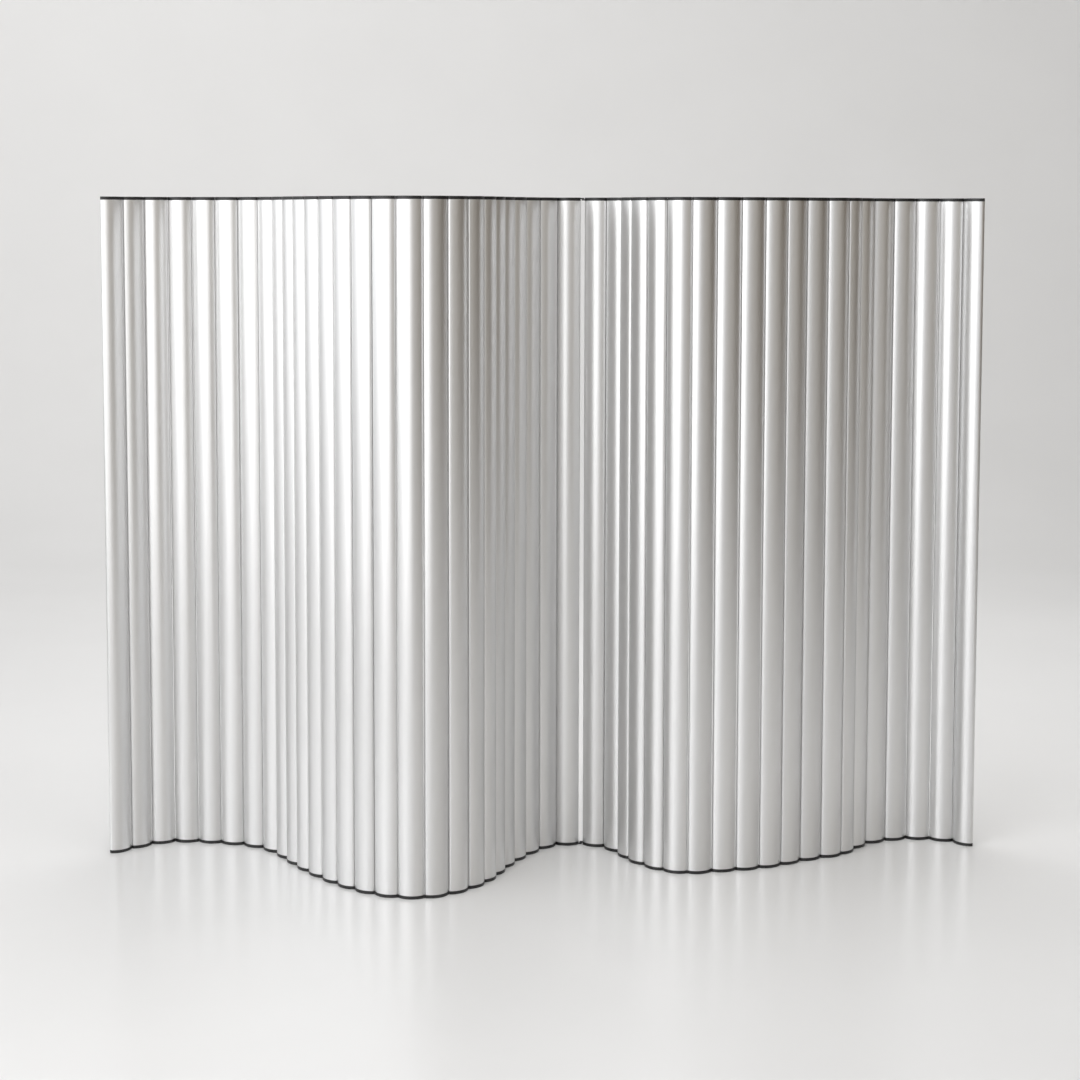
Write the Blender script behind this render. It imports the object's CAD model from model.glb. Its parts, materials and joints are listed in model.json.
"""Folding screen of upright oval aluminium tubes with flush black caps, on a pale studio floor.

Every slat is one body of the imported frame. Its tube, its two caps and its two steel pins are built
here as separate pieces in the same places, and ride on that body. Lengths are in metres, angles in
radians.
"""

import json
import logging
import math
from collections.abc import Iterable, Sequence
from dataclasses import dataclass, field
from enum import Enum

import bmesh
import bpy
from mathutils import Matrix, Vector

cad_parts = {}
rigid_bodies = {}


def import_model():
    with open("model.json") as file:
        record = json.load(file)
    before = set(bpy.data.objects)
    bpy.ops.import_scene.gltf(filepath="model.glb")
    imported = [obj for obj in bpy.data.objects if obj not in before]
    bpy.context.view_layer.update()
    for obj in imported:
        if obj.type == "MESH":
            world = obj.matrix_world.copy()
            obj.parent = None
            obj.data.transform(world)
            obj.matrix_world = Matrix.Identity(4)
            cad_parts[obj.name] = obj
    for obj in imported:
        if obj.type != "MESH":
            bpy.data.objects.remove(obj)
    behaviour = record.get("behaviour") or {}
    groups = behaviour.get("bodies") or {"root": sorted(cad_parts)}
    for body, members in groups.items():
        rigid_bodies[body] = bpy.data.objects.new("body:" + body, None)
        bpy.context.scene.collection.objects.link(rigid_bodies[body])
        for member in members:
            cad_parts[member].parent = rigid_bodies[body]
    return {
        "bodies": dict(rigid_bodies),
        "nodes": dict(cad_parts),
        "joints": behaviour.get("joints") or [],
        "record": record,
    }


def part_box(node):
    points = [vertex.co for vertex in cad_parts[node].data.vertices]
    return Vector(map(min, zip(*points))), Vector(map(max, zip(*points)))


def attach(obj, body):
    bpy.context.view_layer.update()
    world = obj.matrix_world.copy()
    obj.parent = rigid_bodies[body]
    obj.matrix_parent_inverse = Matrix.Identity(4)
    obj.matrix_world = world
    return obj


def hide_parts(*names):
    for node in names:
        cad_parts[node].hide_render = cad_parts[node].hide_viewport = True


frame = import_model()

log = logging.getLogger("folding_screen")

# Name of the attribute that carries a slat's own shade
TONE = "tone"
# Points closer than this become one, and edges shorter than this are taken out
MERGE_DISTANCE = 1e-6
SHORTEST_EDGE = 1e-7
# Edges that turn by more than this are drawn sharp
SHARP_ANGLE = math.radians(34)
# Faces with more corners than this are drawn flat
SMOOTH_CORNERS = 4
# Steps of the golden ratio spread the slats' shades evenly
GOLDEN_STEP = 0.618034

Pair = tuple[float, float]
Triple = tuple[float, float, float]
Colour = tuple[float, float, float, float]
Loop = list[Triple]


class Slot(Enum):
    """Material slots of the record."""

    TUBE = "tube"
    CAP = "cap"
    PIN = "pin"


@dataclass(frozen=True)
class Field:
    """A number that flows through a node tree, with plain arithmetic."""

    board: "Board"
    socket: bpy.types.NodeSocket

    def __add__(self, other: "Field | float") -> "Field":
        """Sum."""
        return self.board.math("ADD", self, other)

    def __sub__(self, other: "Field | float") -> "Field":
        """Difference."""
        return self.board.math("SUBTRACT", self, other)

    def __mul__(self, other: "Field | float") -> "Field":
        """Product."""
        return self.board.math("MULTIPLY", self, other)

    def __truediv__(self, other: "Field | float") -> "Field":
        """Quotient."""
        return self.board.math("DIVIDE", self, other)


class Board:
    """Lays nodes into one tree and wires them together."""

    def __init__(self, tree: bpy.types.NodeTree) -> None:
        """Starts on an empty tree.

        Args:
            tree: The shader or geometry tree to fill.
        """
        self.tree = tree
        tree.nodes.clear()

    def put(self, kind: str, feeds: dict | None = None, **settings: object) -> bpy.types.Node:
        """Adds a node, sets its options and feeds its inputs.

        Args:
            kind: Blender's name of the node type.
            feeds: Socket name or number to a value, a Field or another node's socket.
            **settings: Options of the node itself.

        Returns:
            The new node.
        """
        node = self.tree.nodes.new(kind)
        for name, value in settings.items():
            setattr(node, name, value)
        for key, value in (feeds or {}).items():
            self.feed(node.inputs[key], value)
        return node

    def feed(self, socket: bpy.types.NodeSocket, value: object) -> None:
        """Joins a source to an input, or writes a plain value on it.

        Args:
            socket: The input.
            value: A Field, a socket or a plain value.
        """
        if isinstance(value, Field):
            value = value.socket
        if isinstance(value, bpy.types.NodeSocket):
            self.tree.links.new(value, socket)
        else:
            socket.default_value = value

    def math(self, operation: str, *terms: "Field | float") -> Field:
        """Adds one Math node.

        Args:
            operation: Blender's name of the operation.
            *terms: The operands in order.

        Returns:
            The result.
        """
        node = self.put("ShaderNodeMath", dict(enumerate(terms)), operation=operation)
        return Field(self, node.outputs[0])

    def ramp(self, source: object, stops: Sequence[Pair]) -> bpy.types.NodeSocket:
        """Adds a grey Color Ramp.

        Args:
            source: What drives the ramp.
            stops: Pairs of position and grey level.

        Returns:
            The ramp's colour output.
        """
        node = self.put("ShaderNodeValToRGB", {"Fac": source})
        steps = node.color_ramp.elements
        while len(steps) < len(stops):
            steps.new(0.5)
        for step, (position, grey) in zip(steps, stops):
            step.position = position
            step.color = (grey, grey, grey, 1.0)
        return node.outputs["Color"]


class TreeInputs:
    """Named inputs of a geometry tree, and the modifier values that go with them."""

    KINDS = {
        float: "NodeSocketFloat",
        int: "NodeSocketInt",
        Vector: "NodeSocketVector",
        bpy.types.Material: "NodeSocketMaterial",
    }

    def __init__(self, name: str, kinds: dict[str, type]) -> None:
        """Makes the tree with a mesh going in and a mesh coming out.

        Args:
            name: Name of the tree.
            kinds: Input name to its type.
        """
        self.tree = bpy.data.node_groups.new(name, "GeometryNodeTree")
        interface = self.tree.interface
        interface.new_socket("Mesh", in_out="INPUT", socket_type="NodeSocketGeometry")
        interface.new_socket("Mesh", in_out="OUTPUT", socket_type="NodeSocketGeometry")
        self.ids = {}
        for label, kind in kinds.items():
            made = interface.new_socket(label, in_out="INPUT", socket_type=self.KINDS[kind])
            self.ids[label] = made.identifier
        self.board = Board(self.tree)
        self.source = self.board.put("NodeGroupInput")

    def __getitem__(self, label: str) -> Field:
        """The input of that name as it flows through the tree."""
        return Field(self.board, self.source.outputs[label])

    def close(self, mesh: bpy.types.NodeSocket) -> None:
        """Places the shape in the row, gives it its finish and ends the tree.

        Args:
            mesh: The shape in the slat's own frame.
        """
        turn = self.board.put("ShaderNodeCombineXYZ", {"Z": self["Heading"]})
        placed = self.board.put(
            "GeometryNodeTransform",
            {"Geometry": mesh, "Translation": self["Place"], "Rotation": turn.outputs[0]},
        )
        toned = self.board.put(
            "GeometryNodeStoreNamedAttribute",
            {"Geometry": placed.outputs[0], "Name": TONE, "Value": self["Tone"]},
            data_type="FLOAT",
            domain="POINT",
        )
        smooth = self.board.put("GeometryNodeSetShadeSmooth", {"Geometry": toned.outputs[0]})
        whole = self.board.put("GeometryNodeRealizeInstances", {"Geometry": smooth.outputs[0]})
        finished = self.board.put(
            "GeometryNodeSetMaterial",
            {"Geometry": whole.outputs[0], "Material": self["Finish"]},
        )
        self.board.put("NodeGroupOutput", {"Mesh": finished.outputs[0]})

    def bake(self, name: str, start: bpy.types.Mesh, values: dict[str, object]) -> bpy.types.Object:
        """Runs the tree on a mesh and keeps the result as a plain piece.

        Args:
            name: Name of the finished piece.
            start: The mesh that goes into the tree.
            values: A value for each named input.

        Returns:
            The piece, with no modifier on it.
        """
        carrier = bpy.data.objects.new(name + "_start", start)
        bpy.context.scene.collection.objects.link(carrier)
        modifier = carrier.modifiers.new("shape", "NODES")
        modifier.node_group = self.tree
        for label, value in values.items():
            modifier[self.ids[label]] = value
        bpy.context.view_layer.update()
        graph = bpy.context.evaluated_depsgraph_get()
        mesh = bpy.data.meshes.new_from_object(carrier.evaluated_get(graph))
        carrier.modifiers.remove(modifier)
        bpy.data.objects.remove(carrier)
        mesh.name = name
        point_outwards(mesh)
        mesh.set_sharp_from_angle(angle=SHARP_ANGLE)
        for face in mesh.polygons:
            face.use_smooth = len(face.vertices) <= SMOOTH_CORNERS
        piece = bpy.data.objects.new(name, mesh)
        bpy.context.scene.collection.objects.link(piece)
        return piece


def point_outwards(mesh: bpy.types.Mesh) -> None:
    """Merges doubled points and turns all faces outwards.

    Args:
        mesh: The closed mesh to mend.
    """
    work = bmesh.new()
    work.from_mesh(mesh)
    bmesh.ops.remove_doubles(work, verts=work.verts, dist=MERGE_DISTANCE)
    bmesh.ops.dissolve_degenerate(work, edges=work.edges, dist=SHORTEST_EDGE)
    bmesh.ops.recalc_face_normals(work, faces=work.faces)
    work.to_mesh(mesh)
    work.free()


@dataclass(frozen=True)
class Oval:
    """Outline shared by tube, cap and spigot: two flat arcs and two round side edges."""

    width: float = 0.054
    depth: float = 0.028
    edge_radius: float = 0.007

    @property
    def edge_x(self) -> float:
        """Distance from the middle to the centre of a side edge."""
        return self.width / 2 - self.edge_radius

    @property
    def arc_radius(self) -> float:
        """Radius of the flat front and back arcs."""
        half = self.depth / 2
        return (self.edge_x**2 + half**2 - self.edge_radius**2) / (2 * (half - self.edge_radius))

    @property
    def arc_centre(self) -> float:
        """Distance from the middle to the centre of a flat arc."""
        return self.arc_radius - self.depth / 2

    def point(self, angle: float, inset: float = 0.0) -> Vector:
        """Point of the outline where its normal has this angle.

        Args:
            angle: Direction of the outward normal in radians.
            inset: How far the outline is drawn in.

        Returns:
            The point in the slat's own frame.
        """
        normal = Vector((math.cos(angle), math.sin(angle)))
        if abs(normal.x) * self.arc_centre >= abs(normal.y) * self.edge_x:
            centre = Vector((math.copysign(self.edge_x, normal.x), 0.0))
            return centre + (self.edge_radius - inset) * normal
        centre = Vector((0.0, -math.copysign(self.arc_centre, normal.y)))
        return centre + (self.arc_radius - inset) * normal


@dataclass(frozen=True)
class SlatPlace:
    """Where one slat stands in the row, and the gaps to its neighbours."""

    number: int
    centre: Vector
    heading: float
    left_gap: float
    right_gap: float

    @property
    def digits(self) -> str:
        """Two-digit number used in the names."""
        return f"{self.number:02d}"

    @property
    def body(self) -> str:
        """The CAD body that this slat's pieces ride on."""
        return "slat_body_" + self.digits

    @property
    def tone(self) -> float:
        """A steady value from 0 to 1 that differs from slat to slat."""
        return (self.number * GOLDEN_STEP) % 1.0


@dataclass(frozen=True)
class RowReader:
    """Works out every slat's place from the hinges and end tubes of the frame."""

    oval: Oval = Oval()
    gap: float = 0.002
    wide_gap: float = 0.010
    wide_hinge: str = "hinge_27_28"

    def places(self, packed: dict) -> list[SlatPlace]:
        """Reads the row from left to right.


        Returns:
            One place for each slat.
        """
        hinges = sorted(packed["joints"], key=lambda hinge: hinge["name"])
        gaps = [self.wide_gap if h["name"] == self.wide_hinge else self.gap for h in hinges]
        pivots = [Vector(h["pos_m"][:2]) for h in hinges]
        first = self.middle("tube_01")
        last = self.middle(f"tube_{len(hinges) + 1:02d}")
        found = [self.place(1, first, pivots[0] - first, 0.0, gaps[0])]
        for i in range(1, len(hinges)):
            along = (pivots[i] - pivots[i - 1]).normalized()
            middle = pivots[i - 1] + along * (gaps[i - 1] + self.oval.width) / 2
            found.append(self.place(i + 1, middle, along, gaps[i - 1], gaps[i]))
        found.append(self.place(len(hinges) + 1, last, last - pivots[-1], gaps[-1], 0.0))
        return found

    @staticmethod
    def middle(node: str) -> Vector:
        """Middle of a CAD node's box, seen from above."""
        low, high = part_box(node)
        return ((Vector(low) + Vector(high)) / 2).xy

    @staticmethod
    def place(number: int, middle: Vector, along: Vector, left: float, right: float) -> SlatPlace:
        """One place with its heading taken from the direction along the slat."""
        return SlatPlace(number, middle, math.atan2(along.y, along.x), left, right)


class Coat:
    """A material that is being laid out on Object coordinates."""

    def __init__(self, name: str) -> None:
        """Starts an empty material.

        Args:
            name: Name of the material.
        """
        self.material = bpy.data.materials.new(name)
        self.material.use_nodes = True
        self.board = Board(self.material.node_tree)
        self.place = self.board.put("ShaderNodeTexCoord").outputs["Object"]

    def noise(
        self, scale: float, detail: float, roughness: float = 0.5, stretch: Triple | None = None
    ) -> Field:
        """Adds a noise pattern.

        Args:
            scale: Scale of the noise.
            detail: Number of finer layers.
            roughness: Weight of the finer layers.
            stretch: Scale along each axis, small to draw the pattern out, None to leave it even.

        Returns:
            The pattern, from 0 to 1.
        """
        where = self.place
        if stretch:
            scales = {"Vector": where, "Scale": stretch}
            where = self.board.put("ShaderNodeMapping", scales).outputs[0]
        feeds = {"Vector": where, "Scale": scale, "Detail": detail, "Roughness": roughness}
        return Field(self.board, self.board.put("ShaderNodeTexNoise", feeds).outputs["Fac"])

    def close(self, surface: bpy.types.Node, shown: Colour | None = None) -> bpy.types.Material:
        """Ends the material.

        Args:
            surface: The shader that covers the piece.
            shown: Plain colour in a viewport, None for the usual grey.

        Returns:
            The material.
        """
        self.board.put("ShaderNodeOutputMaterial", {"Surface": surface.outputs[0]})
        if shown:
            self.material.diffuse_color = shown
        return self.material


@dataclass(frozen=True)
class SatinAluminium:
    """Drawn and satin-anodised tube: fine lines along the tube, soft smudges, slight batch shades.

    The shade weights are those of the lines, the smudges and the slat's own tone, and the
    roughness weights those of the lines and the smudges.
    """

    colour: Colour = (0.86, 0.86, 0.865, 1.0)
    darkest: float = 0.70
    lightest: float = 0.82
    least_roughness: float = 0.33
    line_scale: float = 1400.0
    line_stretch: Triple = (1.0, 1.0, 0.0005)
    smudge_scale: float = 7.0
    smudge_stretch: Triple = (1.0, 1.0, 0.15)
    shade_weights: Triple = (0.2, 0.4, 0.4)
    roughness_weights: Pair = (0.04, 0.06)

    def build(self) -> bpy.types.Material:
        """Makes the finish.

        Returns:
            The material.
        """
        coat = Coat("satin_aluminium")
        board = coat.board
        tone = Field(board, board.put("ShaderNodeAttribute", attribute_name=TONE).outputs["Fac"])
        lines = coat.noise(self.line_scale, 3.0, 0.6, self.line_stretch)
        smudges = coat.noise(self.smudge_scale, 5.0, 0.62, self.smudge_stretch)
        by_lines, by_smudges, by_tone = self.shade_weights
        shade = lines * by_lines + smudges * by_smudges + tone * by_tone
        tint = board.ramp(shade, [(0.0, self.darkest), (1.0, self.lightest)])
        by_lines, by_smudges = self.roughness_weights
        gloss = lines * by_lines + smudges * by_smudges + self.least_roughness
        surface = board.put(
            "ShaderNodeBsdfPrincipled",
            {"Base Color": tint, "Metallic": 1.0, "Roughness": gloss},
        )
        return coat.close(surface, self.colour)


@dataclass(frozen=True)
class BlackMoulding:
    """Moulded black plastic: fine grain, a dull sheen, and paler rubbing close to the floor."""

    colour: Colour = (0.012, 0.012, 0.013, 1.0)
    rubbed: Colour = (0.06, 0.058, 0.055, 1.0)
    rub_height: float = 0.004
    rub_threshold: float = 0.56
    grain_scale: float = 1800.0
    grain_strength: float = 0.25
    grain_depth: float = 0.00003
    cloud_scale: float = 60.0
    least_roughness: float = 0.27
    roughness_spread: float = 0.16

    def build(self) -> bpy.types.Material:
        """Makes the finish.

        Returns:
            The material.
        """
        coat = Coat("black_moulding")
        board = coat.board
        grain = coat.noise(self.grain_scale, 2.0)
        cloud = coat.noise(self.cloud_scale, 6.0, 0.7)
        height = board.put("ShaderNodeSeparateXYZ", {0: coat.place}).outputs["Z"]
        near_floor = board.put(
            "ShaderNodeMapRange",
            {"Value": height, "From Max": self.rub_height, "To Min": 1.0, "To Max": 0.0},
        ).outputs[0]
        patches = board.math("GREATER_THAN", cloud, self.rub_threshold)
        colour = board.put(
            "ShaderNodeMix",
            {"Factor": Field(board, near_floor) * patches, "A": self.colour, "B": self.rubbed},
            data_type="RGBA",
        )
        bump = board.put(
            "ShaderNodeBump",
            {"Height": grain, "Strength": self.grain_strength, "Distance": self.grain_depth},
        )
        surface = board.put(
            "ShaderNodeBsdfPrincipled",
            {
                "Base Color": colour.outputs[2],
                "Roughness": cloud * self.roughness_spread + self.least_roughness,
                "IOR": 1.49,
                "Normal": bump.outputs[0],
            },
        )
        return coat.close(surface, self.colour)


@dataclass(frozen=True)
class GroundSteel:
    """Centreless-ground steel of the hinge pins: fine rings round the pin."""

    colour: Colour = (0.56, 0.57, 0.58, 1.0)
    ring_scale: float = 9000.0
    ring_stretch: Triple = (0.02, 0.02, 1.0)
    ring_shades: tuple[Pair, Pair] = ((0.25, 0.48), (0.8, 0.62))
    least_roughness: float = 0.2
    roughness_spread: float = 0.15

    def build(self) -> bpy.types.Material:
        """Makes the finish.

        Returns:
            The material.
        """
        coat = Coat("ground_steel")
        board = coat.board
        rings = coat.noise(self.ring_scale, 2.0, stretch=self.ring_stretch)
        tint = board.ramp(rings, self.ring_shades)
        gloss = rings * self.roughness_spread + self.least_roughness
        surface = board.put(
            "ShaderNodeBsdfPrincipled",
            {"Base Color": tint, "Metallic": 1.0, "Roughness": gloss},
        )
        return coat.close(surface, self.colour)


@dataclass
class Tube:
    """The extruded tube of one slat, made by a tree that lays a wall section round the outline."""

    finish: bpy.types.Material
    oval: Oval = Oval()
    wall: float = 0.0015
    bottom: float = 0.00705
    top: float = 1.49295
    edge_break: float = 0.00025
    around: int = 120
    closeness: float = 1e-7
    tree: TreeInputs = field(init=False)

    def __post_init__(self) -> None:
        """Builds the tree once for all slats."""
        self.tree = self.make_tree()

    def make_tree(self) -> TreeInputs:
        """A closed grid whose rows go round the outline and whose columns go round the wall.

        Returns:
            The finished tree.
        """
        inputs = TreeInputs(
            "oval_tube",
            {
                "Width": float,
                "Depth": float,
                "Edge radius": float,
                "Wall": float,
                "Bottom": float,
                "Top": float,
                "Edge break": float,
                "Around": int,
                "Heading": float,
                "Place": Vector,
                "Tone": float,
                "Finish": bpy.types.Material,
            },
        )
        board = inputs.board
        radius, wall, cut = inputs["Edge radius"], inputs["Wall"], inputs["Edge break"]
        low, high, around = inputs["Bottom"], inputs["Top"], inputs["Around"]
        half_depth = inputs["Depth"] / 2.0
        edge_x = inputs["Width"] / 2.0 - radius
        squares = edge_x * edge_x + half_depth * half_depth - radius * radius
        arc_radius = squares / ((half_depth - radius) * 2.0)
        arc_centre = arc_radius - half_depth

        insets = [cut, 0.0, 0.0, cut, wall - cut, wall, wall, wall - cut, cut]
        heights = [low, low + cut, high - cut, high, high, high - cut, low + cut, low, low]
        columns = len(insets)
        grid = board.put(
            "GeometryNodeMeshGrid", {"Vertices X": around + 1.0, "Vertices Y": columns}
        )
        index = Field(board, board.put("GeometryNodeInputIndex").outputs[0])
        row = board.math("FLOOR", (index + 0.5) / columns)
        column = index - row * columns
        inset = self.pick(board, column, insets)
        height = self.pick(board, column, heights)

        angle = row * math.tau / around
        normal_x, normal_y = board.math("COSINE", angle), board.math("SINE", angle)
        edge_room = edge_x * board.math("ABSOLUTE", normal_y)
        arc_room = arc_centre * board.math("ABSOLUTE", normal_x)
        on_edge = board.math("GREATER_THAN", arc_room, edge_room - self.closeness)
        side = board.math("SIGN", normal_x) * edge_x
        face = board.math("SIGN", normal_y) * arc_centre
        edge_point = side + (radius - inset) * normal_x, (radius - inset) * normal_y
        arc_point = (arc_radius - inset) * normal_x, (arc_radius - inset) * normal_y - face
        point_x = arc_point[0] + on_edge * (edge_point[0] - arc_point[0])
        point_y = arc_point[1] + on_edge * (edge_point[1] - arc_point[1])
        position = board.put("ShaderNodeCombineXYZ", {0: point_x, 1: point_y, 2: height})
        bent = board.put(
            "GeometryNodeSetPosition",
            {"Geometry": grid.outputs["Mesh"], "Position": position.outputs[0]},
        )
        closed = board.put(
            "GeometryNodeMergeByDistance", {0: bent.outputs[0], "Distance": MERGE_DISTANCE}
        )
        inputs.close(closed.outputs[0])
        return inputs

    @staticmethod
    def pick(board: Board, column: Field, options: Sequence[Field | float]) -> Field:
        """Chooses one of several numbers by the column of the grid.

        Args:
            board: The tree's board.
            column: Number of the column.
            options: One number for each column.

        Returns:
            The chosen number.
        """
        node = board.put("GeometryNodeIndexSwitch", data_type="FLOAT")
        while len(node.index_switch_items) < len(options):
            node.index_switch_items.new()
        board.feed(node.inputs["Index"], board.math("ROUND", column))
        for number, option in enumerate(options):
            board.feed(node.inputs[number + 1], option)
        return Field(board, node.outputs[0])

    def piece(self, place: SlatPlace) -> bpy.types.Object:
        """Makes one slat's tube.

        Args:
            place: Where the slat stands.

        Returns:
            The tube in its place.
        """
        values = {
            "Width": self.oval.width,
            "Depth": self.oval.depth,
            "Edge radius": self.oval.edge_radius,
            "Wall": self.wall,
            "Bottom": self.bottom,
            "Top": self.top,
            "Edge break": self.edge_break,
            "Around": self.around,
            "Heading": place.heading,
            "Place": (place.centre.x, place.centre.y, 0.0),
            "Tone": place.tone,
            "Finish": self.finish,
        }
        empty = bpy.data.meshes.new("tube_start")
        return self.tree.bake("slat_tube_" + place.digits, empty, values)


class BothEnds:
    """A tree that sets a bottom piece at both ends of the slat, the upper one turned over."""

    def __init__(self, height: float) -> None:
        """Builds the tree.

        Args:
            height: Overall height of the screen.
        """
        self.height = height
        inputs = TreeInputs(
            "both_ends",
            {
                "Height": float,
                "Heading": float,
                "Place": Vector,
                "Tone": float,
                "Finish": bpy.types.Material,
            },
        )
        board = inputs.board
        reach = board.put("ShaderNodeCombineXYZ", {"Z": inputs["Height"]})
        line = board.put(
            "GeometryNodeMeshLine", {"Count": 2, "Offset": reach.outputs[0]}, mode="OFFSET"
        )
        index = Field(board, board.put("GeometryNodeInputIndex").outputs[0])
        over = board.put("ShaderNodeCombineXYZ", {"X": index * math.pi})
        turned = board.put(
            "GeometryNodeInstanceOnPoints",
            {
                "Points": line.outputs[0],
                "Instance": inputs.source.outputs["Mesh"],
                "Rotation": over.outputs[0],
            },
        )
        real = board.put("GeometryNodeRealizeInstances", {0: turned.outputs[0]})
        inputs.close(real.outputs[0])
        self.tree = inputs

    def piece(
        self, name: str, start: bpy.types.Mesh, place: SlatPlace, finish: bpy.types.Material
    ) -> bpy.types.Object:
        """Sets one bottom piece at both ends of a slat.

        Args:
            name: Name of the finished piece.
            start: The bottom piece in the slat's own frame.
            place: Where the slat stands.
            finish: Its material.

        Returns:
            The piece in its place.
        """
        values = {
            "Height": self.height,
            "Heading": place.heading,
            "Place": (place.centre.x, place.centre.y, 0.0),
            "Tone": place.tone,
            "Finish": finish,
        }
        return self.tree.bake(name, start, values)


def skin(work: bmesh.types.BMesh, loops: Sequence[Loop], capped: bool = True) -> None:
    """Covers a stack of loops with the same number of points.

    Args:
        work: The mesh that is being built.
        loops: The loops in order.
        capped: True to close the first and last loop, False to join the last to the first.
    """
    rings = [[work.verts.new(point) for point in loop] for loop in loops]
    pairs = list(zip(rings, rings[1:])) + ([] if capped else [(rings[-1], rings[0])])
    for lower, upper in pairs:
        for i in range(len(lower)):
            j = (i + 1) % len(lower)
            work.faces.new((lower[i], lower[j], upper[j], upper[i]))
    if capped:
        work.faces.new(list(reversed(rings[0])))
        work.faces.new(rings[-1])


@dataclass
class EndCap:
    """Moulded cap: a plate flush with the tube, hinge eyes left and right, and a hollow spigot.

    A side edge without a hinge ends where its normal has turned by whole_nose.
    """

    oval: Oval = Oval()
    plate: float = 0.007
    rim_round: float = 0.00045
    eye_radius: float = 0.003
    eye_room: float = 0.0004
    eye_height: float = 0.00295
    outer_eye_z: float = 0.0004
    inner_eye_z: float = 0.00365
    level: float = 0.0035
    pin_radius: float = 0.00125
    running_gap: float = 0.00008
    seat_gap: float = 0.00003
    spigot_inset: float = 0.0016
    spigot_wall: float = 0.002
    spigot_top: float = 0.029
    lead_in: float = 0.003
    lead_in_step: float = 0.0004
    edge_break: float = 0.00015
    whole_nose: float = math.radians(22.8)
    rim_steps: tuple[float, ...] = (0.0, 0.3, 0.7, 1.0)
    nose_points: int = 9
    flank_points: int = 27
    eye_points: int = 28
    spigot_points: int = 48
    pin_points: int = 24

    def bottom(self, left_gap: float, right_gap: float) -> bpy.types.Mesh:
        """Builds the bottom cap in the slat's own frame.

        Args:
            left_gap: Gap to the left neighbour, 0 at the end of the row.
            right_gap: Gap to the right neighbour, 0 at the end of the row.

        Returns:
            The cap's mesh.
        """
        work = bmesh.new()
        self.add_plate(work, left_gap, right_gap)
        if left_gap > 0:
            hole = self.pin_radius + self.running_gap
            self.add_eye(work, -1, left_gap, self.inner_eye_z, hole)
        if right_gap > 0:
            hole = self.pin_radius + self.seat_gap
            self.add_eye(work, 1, right_gap, self.outer_eye_z, hole)
        self.add_spigot(work)
        mesh = bpy.data.meshes.new("cap_start")
        work.to_mesh(mesh)
        work.free()
        return mesh

    def add_plate(self, work: bmesh.types.BMesh, left_gap: float, right_gap: float) -> None:
        """Adds the plate with a rounded rim and the rooms for the neighbours' eyes.

        Args:
            work: The mesh that is being built.
            left_gap: Gap to the left neighbour.
            right_gap: Gap to the right neighbour.
        """
        soft = self.rim_round
        room = self.eye_radius + self.eye_room
        lower = (left_gap, room), (right_gap, self.pin_radius + self.seat_gap)
        upper = (left_gap, self.pin_radius + self.running_gap), (right_gap, room)
        loops = []
        for step in self.rim_steps:
            turn = step * math.pi / 2
            inset, z = soft * (1 - math.sin(turn)), soft * (1 - math.cos(turn))
            loops.append(self.outline(z, *lower, inset))
        loops.append(self.outline(self.level, *lower))
        loops.append(self.outline(self.level, *upper))
        loops.append(self.outline(self.plate - soft / 2, *upper))
        loops.append(self.outline(self.plate, *upper, soft / 2))
        skin(work, loops)

    def outline(self, z: float, left: Pair, right: Pair, inset: float = 0.0) -> Loop:
        """Outline of the plate at one height.

        Args:
            z: Height of the loop.
            left: Gap on the left and radius of what is cut away round its pin.
            right: Gap on the right and radius of what is cut away round its pin.
            inset: How far the outline is drawn in.

        Returns:
            A loop that always has the same number of points.
        """
        right_nose, right_edge = self.nose(*right, inset)
        left_nose, left_edge = self.nose(*left, inset)
        points = list(right_nose)
        points += self.flank(right_edge, math.pi - left_edge, inset)
        points += [Vector((-p.x, -p.y)) for p in left_nose]
        points += self.flank(math.pi + left_edge, math.tau - right_edge, inset)
        return [(p.x, p.y, z) for p in points]

    def nose(self, gap: float, cut: float, inset: float) -> tuple[list[Vector], float]:
        """Points round the right side edge, hollowed for the neighbour's eye or the pin.

        Args:
            gap: Gap to the neighbour, 0 for a whole edge.
            cut: Radius of the hollow round the pin.
            inset: How far the outline is drawn in.

        Returns:
            The points from back to front, and the normal angle of the last one.
        """
        edge = self.oval.edge_radius - inset
        room = cut + inset
        apart = self.oval.edge_radius + gap / 2
        steps = [2 * i / (self.nose_points - 1) - 1 for i in range(self.nose_points)]
        if gap <= 0 or apart >= edge + room:
            spread = self.whole_nose
            return [self.oval.point(spread * t, inset) for t in steps], spread
        along = (apart**2 + edge**2 - room**2) / (2 * apart)
        across = math.sqrt(edge**2 - along**2)
        spread = math.atan2(across, along)
        swing = math.atan2(across, apart - along)
        centre = Vector((self.oval.edge_x + apart, 0.0))
        turns = [swing * t for t in steps]
        return [centre + room * Vector((-math.cos(a), math.sin(a))) for a in turns], spread

    def flank(self, start: float, end: float, inset: float) -> list[Vector]:
        """Points of the outline between two normal angles, both ends left out.

        Args:
            start: First normal angle.
            end: Last normal angle.
            inset: How far the outline is drawn in.

        Returns:
            The points in order.
        """
        count = self.flank_points
        angles = [start + (end - start) * (i + 1) / (count + 1) for i in range(count)]
        return [self.oval.point(angle, inset) for angle in angles]

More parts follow.
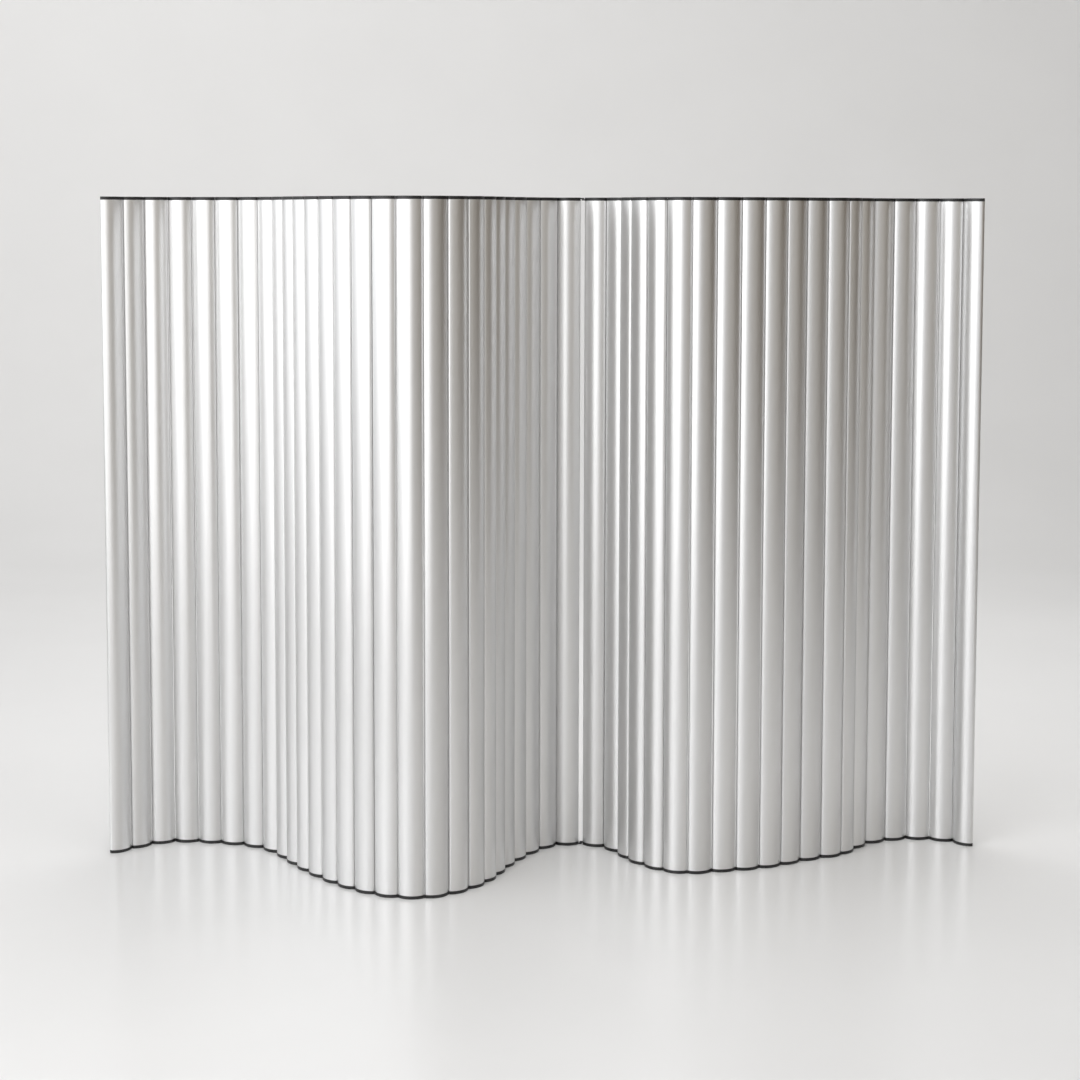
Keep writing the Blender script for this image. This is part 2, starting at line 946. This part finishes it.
    def add_eye(
        self, work: bmesh.types.BMesh, side: int, gap: float, z: float, hole: float
    ) -> None:
        """Adds one hinge eye with the web that joins it to the plate.

        Args:
            work: The mesh that is being built.
            side: -1 for the left eye, 1 for the right eye.
            gap: Gap to the neighbour.
            z: Height of the eye's lower face.
            hole: Radius of its hole.
        """
        centre = self.oval.width / 2 + gap / 2
        back = centre - self.oval.edge_x
        soft = self.edge_break
        top = z + self.eye_height
        angles = [math.tau * (i + 0.5) / self.eye_points for i in range(self.eye_points)]
        loops = []
        for level, inset in ((z, soft), (z + soft, 0.0), (top - soft, 0.0), (top, soft)):
            outside = [self.eye_point(a, back, inset) for a in angles]
            loops.append(self.ring(outside, centre, side, level))
        inside = [(hole * math.cos(a), hole * math.sin(a)) for a in angles]
        loops += [self.ring(inside, centre, side, level) for level in (top, z)]
        skin(work, loops, capped=False)

    def eye_point(self, angle: float, back: float, inset: float) -> Pair:
        """Point of the eye's outline in a direction from its centre.

        Args:
            angle: The direction.
            back: How far the web reaches back.
            inset: How far the outline is drawn in.

        Returns:
            The point relative to the centre.
        """
        radius = self.eye_radius - inset
        x, y = math.cos(angle), math.sin(angle)
        if x >= 0:
            return radius * x, radius * y
        reach = min(radius / abs(y), back / abs(x))
        return reach * x, reach * y

    @staticmethod
    def ring(points: Iterable[Pair], centre: float, side: int, z: float) -> Loop:
        """Moves a loop round the eye's centre to its side of the cap."""
        return [(side * (centre + x), y, z) for x, y in points]

    def add_spigot(self, work: bmesh.types.BMesh) -> None:
        """Adds the hollow spigot with its narrower lead-in.

        Args:
            work: The mesh that is being built.
        """
        outer, inner = self.spigot_inset, self.spigot_inset + self.spigot_wall
        step = self.spigot_top - self.lead_in
        section = [
            (outer, self.plate),
            (outer, step),
            (outer + self.lead_in_step, step + self.lead_in_step),
            (outer + self.lead_in_step, self.spigot_top),
            (inner + self.lead_in_step, self.spigot_top),
            (inner, step),
            (inner, self.plate),
        ]
        count = self.spigot_points
        angles = [math.tau * (i + 0.5) / count for i in range(count)]
        loops = []
        for inset, z in section:
            points = [self.oval.point(angle, inset) for angle in angles]
            loops.append([(p.x, p.y, z) for p in points])
        skin(work, loops, capped=False)

    def bottom_pin(self, right_gap: float) -> bpy.types.Mesh:
        """Builds the steel pin of the right-hand hinge, with broken edges.

        Args:
            right_gap: Gap to the right neighbour.

        Returns:
            The pin's mesh in the slat's own frame.
        """
        low, high = self.outer_eye_z, self.inner_eye_z + self.eye_height
        cut = self.edge_break
        centre = self.oval.width / 2 + right_gap / 2
        angles = [math.tau * i / self.pin_points for i in range(self.pin_points)]
        section = [
            (self.pin_radius - cut, low),
            (self.pin_radius, low + cut),
            (self.pin_radius, high - cut),
            (self.pin_radius - cut, high),
        ]
        work = bmesh.new()
        skin(
            work,
            [[(centre + r * math.cos(a), r * math.sin(a), z) for a in angles] for r, z in section],
        )
        mesh = bpy.data.meshes.new("pin_start")
        work.to_mesh(mesh)
        work.free()
        return mesh


@dataclass
class Screen:
    """The whole row of slats.

    The slats in split have their tube, caps and pins as separate CAD nodes.
    """

    places: list[SlatPlace]
    aluminium: bpy.types.Material
    moulding: bpy.types.Material
    steel: bpy.types.Material
    height: float = 1.5
    split: frozenset[int] = frozenset((1, 24, 27, 28, 47))

    def build(self) -> None:
        """Builds every slat from left to right."""
        tube = Tube(self.aluminium)
        cap = EndCap()
        ends = BothEnds(self.height)
        for place in self.places:
            self.add_slat(place, tube, cap, ends)

    def add_slat(self, place: SlatPlace, tube: Tube, cap: EndCap, ends: BothEnds) -> None:
        """Builds one slat and hands it to its body.

        Args:
            place: Where the slat stands.
            tube: Maker of the tubes.
            cap: Maker of the caps and pins.
            ends: Sets a piece at both ends.
        """
        alone = place.number in self.split
        digits = place.digits
        body_node = ("tube_" if alone else "slat_") + digits
        self.settle(tube.piece(place), place, Slot.TUBE, body_node)

        start = cap.bottom(place.left_gap, place.right_gap)
        caps = ends.piece("slat_caps_" + digits, start, place, self.moulding)
        self.settle(caps, place, Slot.CAP, "caps_" + digits if alone else body_node)

        if place.right_gap > 0:
            start = cap.bottom_pin(place.right_gap)
            pins = ends.piece("slat_pins_" + digits, start, place, self.steel)
            self.settle(pins, place, Slot.PIN, "pins_" + digits if alone else body_node)

    @staticmethod
    def settle(piece: bpy.types.Object, place: SlatPlace, slot: Slot, node: str) -> None:
        """Makes a piece ride on its body, stand for its CAD node and name its slot.

        Args:
            piece: The finished piece.
            place: The slat that it belongs to.
            slot: Its material slot in the record.
            node: The CAD node that it stands for.
        """
        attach(piece, place.body)
        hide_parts(node)
        log.info("%s: %d faces on %s", piece.name, len(piece.data.polygons), place.body)


@dataclass(frozen=True)
class SoftBox:
    """A rectangular soft lamp that the camera doesn't see, with its power in watts."""

    name: str
    place: Triple
    target: Triple
    size: Pair
    power: float

    def add(self) -> None:
        """Puts the lamp into the scene, facing its target."""
        data = bpy.data.lights.new(self.name, "AREA")
        data.shape = "RECTANGLE"
        data.size, data.size_y = self.size
        data.energy = self.power
        lamp = bpy.data.objects.new(self.name, data)
        lamp.location = self.place
        aim = Vector(self.target) - Vector(self.place)
        lamp.rotation_euler = aim.to_track_quat("-Z", "Y").to_euler()
        lamp.visible_camera = False
        bpy.context.scene.collection.objects.link(lamp)


@dataclass(frozen=True)
class StudioCamera:
    """Camera at the photograph's place, worked out from the screen's top and bottom lines."""

    place: Triple = (-0.0395, -4.7463, 1.4553)
    turn: float = -0.0057
    tilt: float = -0.0845
    roll: float = 0.0018
    sensor_mm: float = 36.0
    lens_mm: float = 71.91
    shift: float = -0.1296

    def add(self) -> None:
        """Puts the camera into the scene and looks through it."""
        data = bpy.data.cameras.new("camera")
        data.sensor_width = self.sensor_mm
        data.lens = self.lens_mm
        data.shift_y = self.shift
        camera = bpy.data.objects.new("camera", data)
        spot = Matrix.Translation(self.place)
        level = Matrix.Rotation(math.pi / 2 + self.tilt, 4, "X")
        look = Matrix.Rotation(self.turn, 4, "Z") @ level
        camera.matrix_world = spot @ look @ Matrix.Rotation(self.roll, 4, "Z")
        bpy.context.scene.collection.objects.link(camera)
        bpy.context.scene.camera = camera


@dataclass(frozen=True)
class Sweep:
    """Seamless floor and backdrop, polished near the screen and matt farther off.

    Beyond the part that the photograph shows, at the sides and in front, the camera sees the floor
    turn into the plain grey of the far background. The floor's light is not changed by that.
    """

    far_grey: float
    half_width: float = 13.0
    front: float = -13.0
    back: float = 7.6
    radius: float = 3.6
    bends: int = 24
    height: float = 9.0
    grey: float = 0.83
    mark_depth: float = 0.01
    mark_scale: float = 1.6
    roughness: Pair = (0.22, 0.6)
    rough_height: float = 0.3
    polish_fade: Pair = (0.7, 2.8)
    lit_side: float = 2.9
    lit_front: float = 1.6
    veil_length: float = 4.0

    def add(self) -> None:
        """Puts the sweep into the scene as one sheet."""
        flat_end = self.back - self.radius
        path = [(self.front, 0.0), (flat_end, 0.0)]
        for i in range(1, self.bends + 1):
            turn = math.pi / 2 * i / self.bends
            rise = self.radius * (1 - math.cos(turn))
            path.append((flat_end + self.radius * math.sin(turn), rise))
        path.append((self.back, self.height))
        work = bmesh.new()
        sides = (-self.half_width, self.half_width)
        rows = [[work.verts.new((x, y, z)) for x in sides] for y, z in path]
        for lower, upper in zip(rows, rows[1:]):
            face = work.faces.new((lower[0], lower[1], upper[1], upper[0]))
            face.smooth = True
        mesh = bpy.data.meshes.new("studio_sweep")
        work.to_mesh(mesh)
        work.free()
        mesh.materials.append(self.paint())
        sweep = bpy.data.objects.new("studio_sweep", mesh)
        bpy.context.scene.collection.objects.link(sweep)

    def paint(self) -> bpy.types.Material:
        """Makes the paint: pale grey with faint roller marks.

        Returns:
            The material.
        """
        coat = Coat("studio_paint")
        board = coat.board
        marks = coat.noise(self.mark_scale, 4.0)
        tint = board.ramp(
            marks, [(0.3, self.grey - self.mark_depth), (0.7, self.grey + self.mark_depth)]
        )
        parts = board.put("ShaderNodeSeparateXYZ", {0: coat.place}).outputs
        smoothest, roughest = self.roughness
        gloss = board.put(
            "ShaderNodeMapRange",
            {
                "Value": parts["Z"],
                "From Max": self.rough_height,
                "To Min": smoothest,
                "To Max": roughest,
            },
        ).outputs[0]
        polished = board.put(
            "ShaderNodeBsdfPrincipled", {"Base Color": tint, "Roughness": gloss, "IOR": 1.45}
        )
        plain = board.put("ShaderNodeBsdfDiffuse", {"Color": tint})
        away = board.put("ShaderNodeVectorMath", {0: coat.place}, operation="LENGTH")
        matt = self.fade(board, away.outputs["Value"], *self.polish_fade)
        floor = board.put(
            "ShaderNodeMixShader", {0: matt, 1: polished.outputs[0], 2: plain.outputs[0]}
        )
        aside = board.math("ABSOLUTE", Field(board, parts["X"])) - self.lit_side
        ahead = Field(board, parts["Y"]) * -1.0 - self.lit_front
        veil = self.fade(board, board.math("MAXIMUM", aside, ahead), 0.0, self.veil_length)
        seen = Field(board, board.put("ShaderNodeLightPath").outputs["Is Camera Ray"])
        far = board.put("ShaderNodeEmission", {"Color": plain_grey(self.far_grey)})
        mixed = board.put(
            "ShaderNodeMixShader", {0: veil * seen, 1: floor.outputs[0], 2: far.outputs[0]}
        )
        return coat.close(mixed)

    @staticmethod
    def fade(board: Board, source: object, start: float, end: float) -> Field:
        """Adds a soft step from 0 to 1.

        Args:
            board: The material's board.
            source: What drives the step.
            start: Value at which it begins.
            end: Value at which it is complete.

        Returns:
            The step.
        """
        node = board.put(
            "ShaderNodeMapRange",
            {"Value": source, "From Min": start, "From Max": end},
            interpolation_type="SMOOTHSTEP",
        )
        return Field(board, node.outputs[0])


def plain_grey(level: float) -> Colour:
    """An opaque grey."""
    return level, level, level, 1.0


@dataclass(frozen=True)
class Studio:
    """Light from the studio walls, soft lamps, the floor with its backdrop, and the camera.

    The walls are white at the left and turn darker and warmer towards the right, along a line that
    is turned by dark_side from the screen's width. Between the two heights of ceiling_rise, their
    light fades into the weaker light of the ceiling.
    """

    far_grey: float = 0.72
    wall_light: float = 1.68
    ceiling_light: float = 0.45
    ceiling_rise: Pair = (0.15, 0.75)
    dark_side: float = 0.32
    wall_tones: tuple[tuple[float, Triple], ...] = (
        (0.0, (0.99, 1.0, 1.0)),
        (0.06, (0.90, 0.91, 0.93)),
        (0.12, (0.84, 0.85, 0.86)),
        (0.20, (0.60, 0.60, 0.60)),
        (0.34, (0.44, 0.43, 0.42)),
        (0.50, (0.36, 0.34, 0.31)),
        (0.64, (0.29, 0.265, 0.23)),
        (0.71, (0.36, 0.335, 0.30)),
        (0.78, (0.21, 0.185, 0.15)),
        (0.98, (0.07, 0.05, 0.03)),
    )
    lamps: tuple[SoftBox, ...] = (
        SoftBox("key_softbox", (-5.4, -3.7, 2.6), (0.0, 0.0, 0.9), (5.6, 3.6), 58.0),
        SoftBox("ceiling_softbox", (0.3, 0.2, 4.4), (0.4, 0.2, 0.0), (5.0, 3.0), 150.0),
        SoftBox("front_softbox", (-1.5, -2.3, 1.5), (-1.5, 0.0, 1.4), (2.6, 2.4), 20.0),
        SoftBox("backdrop_softbox", (-3.0, 3.4, 5.2), (-1.0, 7.6, 2.4), (6.0, 1.5), 88.0),
    )

    def build(self) -> None:
        """Adds everything round the screen."""
        Sweep(self.far_grey).add()
        self.add_world()
        for lamp in self.lamps:
            lamp.add()
        StudioCamera().add()

    def add_world(self) -> None:
        """Adds the walls' light. The camera itself sees a plain grey behind the floor."""
        world = bpy.data.worlds.new("studio_walls")
        world.use_nodes = True
        board = Board(world.node_tree)
        way = board.put("ShaderNodeTexCoord").outputs["Generated"]
        parts = board.put("ShaderNodeSeparateXYZ", {0: way}).outputs
        across = Field(board, parts["X"]) * math.cos(self.dark_side)
        across = across + Field(board, parts["Y"]) * math.sin(self.dark_side)
        walls = board.put("ShaderNodeValToRGB", {"Fac": across * 0.5 + 0.5})
        steps = walls.color_ramp.elements
        for position, colour in self.wall_tones:
            step = steps[0] if position == 0.0 else steps.new(position)
            step.position, step.color = position, (*colour, 1.0)
        steps.remove(steps[-1])
        low, high = self.ceiling_rise
        strength = board.put(
            "ShaderNodeMapRange",
            {
                "Value": parts["Z"],
                "From Min": low,
                "From Max": high,
                "To Min": self.wall_light,
                "To Max": self.ceiling_light,
            },
        )
        glow = board.put(
            "ShaderNodeBackground", {"Color": walls.outputs[0], "Strength": strength.outputs[0]}
        )
        far = board.put("ShaderNodeBackground", {"Color": plain_grey(self.far_grey)})
        seen = board.put("ShaderNodeLightPath").outputs["Is Camera Ray"]
        mixed = board.put("ShaderNodeMixShader", {0: seen, 1: glow.outputs[0], 2: far.outputs[0]})
        board.put("ShaderNodeOutputWorld", {"Surface": mixed.outputs[0]})
        bpy.context.scene.world = world


def main(packed: dict) -> None:
    """Builds the screen and the studio.
    """
    logging.basicConfig(level=logging.INFO, format="%(name)s %(message)s")
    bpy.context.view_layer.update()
    bpy.context.scene.view_settings.view_transform = "Standard"
    screen = Screen(
        RowReader().places(packed),
        SatinAluminium().build(),
        BlackMoulding().build(),
        GroundSteel().build(),
    )
    screen.build()
    Studio().build()


if __name__ == "__main__":
    main(frame)
